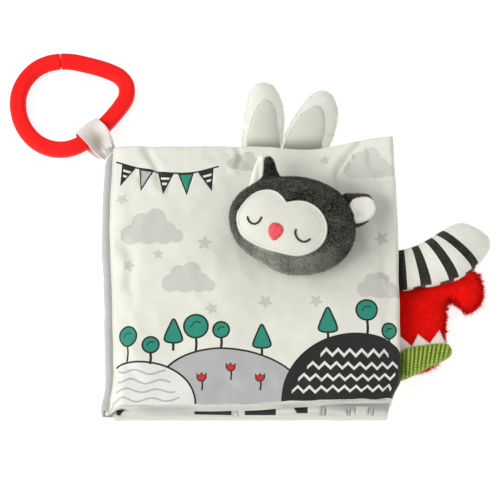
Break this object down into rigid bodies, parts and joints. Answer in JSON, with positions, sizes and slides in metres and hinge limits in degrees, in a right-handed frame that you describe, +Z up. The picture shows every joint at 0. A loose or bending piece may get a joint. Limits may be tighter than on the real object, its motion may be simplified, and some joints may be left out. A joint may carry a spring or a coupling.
{
  "type": "crinkle cloth book",
  "caption": "Padded cloth book with crinkle leaves, a stuffed animal head on the cover, plush ears and tails in the page edges, and a link ring on a ribbon.",
  "frame": {"origin": "centre of the back cover's underside, the face the book lies on", "axes": "+Z up through the closed book, +X from the spine to the fore edge, +Y up the page"},
  "size_m": [0.2592, 0.2074, 0.0588],
  "materials": {
    "cover_satin": "printed satin, off-white",
    "page_cloth": "printed cloth, off-white",
    "wadding": "loose fibre batting",
    "crinkle_film": "thin clear film",
    "spine_cloth": "grey satin",
    "ribbon_satin": "satin ribbon",
    "link_plastic": "glossy red",
    "grey_plush": "short velour pile",
    "white_plush": "short velour pile, black stripes on the tail",
    "ear_satin": "smooth lining cloth",
    "beak_felt": "padded felt",
    "thread": "embroidery thread",
    "red_fleece": "long pile fleece",
    "white_felt": "felt",
    "green_corduroy": "corduroy"
  },
  "bodies": {
    "back_cover": {"back_cover_inner_panel": "page_cloth", "back_cover_crinkle_film": "crinkle_film", "back_cover_batting": "wadding", "back_cover_outer_panel": "cover_satin", "spine_back_strip": "spine_cloth"},
    "middle_leaf": {"middle_leaf_front_panel": "page_cloth", "middle_leaf_crinkle_film": "crinkle_film", "middle_leaf_batting": "wadding", "middle_leaf_back_panel": "page_cloth", "spine_middle_strip": "spine_cloth"},
    "front_cover": {"front_cover_outer_panel": "cover_satin", "front_cover_crinkle_film": "crinkle_film", "front_cover_batting": "wadding", "front_cover_inner_panel": "page_cloth", "spine_front_strip": "spine_cloth"},
    "animal_head": {"head_front_plush": "grey_plush", "head_back_plush": "grey_plush", "head_stuffing": "wadding", "face_patch": "white_plush", "left_eye_stitching": "thread", "right_eye_stitching": "thread", "beak": "beak_felt", "left_ear_plush": "grey_plush", "left_ear_lining": "ear_satin", "right_ear_plush": "grey_plush", "right_ear_lining": "ear_satin"},
    "ribbon": {"hanging_ribbon": "ribbon_satin"},
    "link": {"link_ring": "link_plastic"},
    "left_long_ear": {"left_long_ear_fleece": "white_plush", "left_long_ear_filling": "wadding", "left_long_ear_lining": "ear_satin"},
    "right_long_ear": {"right_long_ear_fleece": "white_plush", "right_long_ear_filling": "wadding", "right_long_ear_lining": "ear_satin"},
    "striped_tail": {"striped_tail_plush": "white_plush", "striped_tail_stuffing": "wadding"},
    "toothed_jaw": {"jaw_upper_corduroy": "green_corduroy", "jaw_lower_corduroy": "green_corduroy", "jaw_teeth": "white_felt"},
    "fleece_tail": {"fleece_tail_plush": "red_fleece", "fleece_tail_stuffing": "wadding"}
  },
  "joints": [
    {"name": "middle_leaf_turn", "type": "hinge", "parent": "back_cover", "child": "middle_leaf", "pos_m": [-0.0802, 0, 0.008], "axis": [0, 1, 0], "range_deg": [-150, 0]},
    {"name": "front_cover_turn", "type": "hinge", "parent": "middle_leaf", "child": "front_cover", "pos_m": [-0.0802, 0, 0.016], "axis": [0, -1, 0], "range_deg": [0, 160]},
    {"name": "head_turn", "type": "hinge", "parent": "front_cover", "child": "animal_head", "pos_m": [0.02, 0.0246, 0.024], "axis": [0, 0, 1], "range_deg": [-12, 12]},
    {"name": "ribbon_lift", "type": "hinge", "parent": "back_cover", "child": "ribbon", "pos_m": [-0.0791, 0.0732, 0.0056], "axis": [1, 0, 0], "range_deg": [0, 60]},
    {"name": "link_swing", "type": "hinge", "parent": "ribbon", "child": "link", "pos_m": [-0.0872, 0.0882, 0.0054], "axis": [-0.77, -0.638, 0], "range_deg": [-40, 0]},
    {"name": "left_long_ear_lift", "type": "hinge", "parent": "middle_leaf", "child": "left_long_ear", "pos_m": [0.0048, 0.075, 0.012], "axis": [1, 0, 0], "range_deg": [0, 55]},
    {"name": "right_long_ear_lift", "type": "hinge", "parent": "middle_leaf", "child": "right_long_ear", "pos_m": [0.0272, 0.075, 0.012], "axis": [1, 0, 0], "range_deg": [0, 55]},
    {"name": "striped_tail_lift", "type": "hinge", "parent": "middle_leaf", "child": "striped_tail", "pos_m": [0.0772, 0.0047, 0.012], "axis": [0, -1, 0], "range_deg": [0, 15]},
    {"name": "toothed_jaw_lift", "type": "hinge", "parent": "middle_leaf", "child": "toothed_jaw", "pos_m": [0.0772, -0.047, 0.012], "axis": [0, -1, 0], "range_deg": [0, 30]},
    {"name": "fleece_tail_swing", "type": "hinge", "parent": "back_cover", "child": "fleece_tail", "pos_m": [0.0764, -0.027, 0.004], "axis": [0, 0, 1], "range_deg": [-6, 6]}
  ]
}
